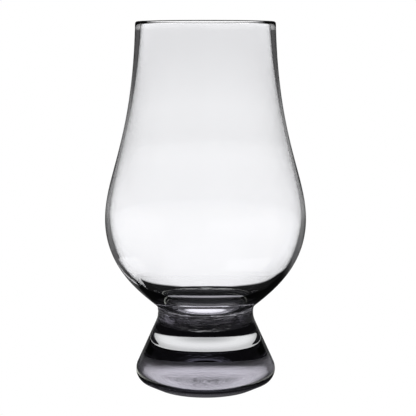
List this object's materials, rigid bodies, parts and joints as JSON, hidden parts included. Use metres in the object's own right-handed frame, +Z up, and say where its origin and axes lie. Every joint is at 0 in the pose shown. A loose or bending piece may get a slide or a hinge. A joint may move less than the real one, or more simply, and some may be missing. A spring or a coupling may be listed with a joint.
{
  "type": "whisky nosing glass",
  "caption": "Clear crystal whisky nosing glass with a tulip bowl, tapering chimney mouth, drawn-in waist and solid flared foot.",
  "frame": {"origin": "on the axis of the glass, at the table under the middle of the foot", "axes": "+Z up along the axis, from the foot to the mouth; X and Y across the foot, alike all round"},
  "size_m": [0.0632, 0.0632, 0.115],
  "materials": {
    "crystal": "polished, clear"
  },
  "bodies": {
    "root": {"bowl": "crystal", "foot": "crystal"}
  },
  "joints": []
}
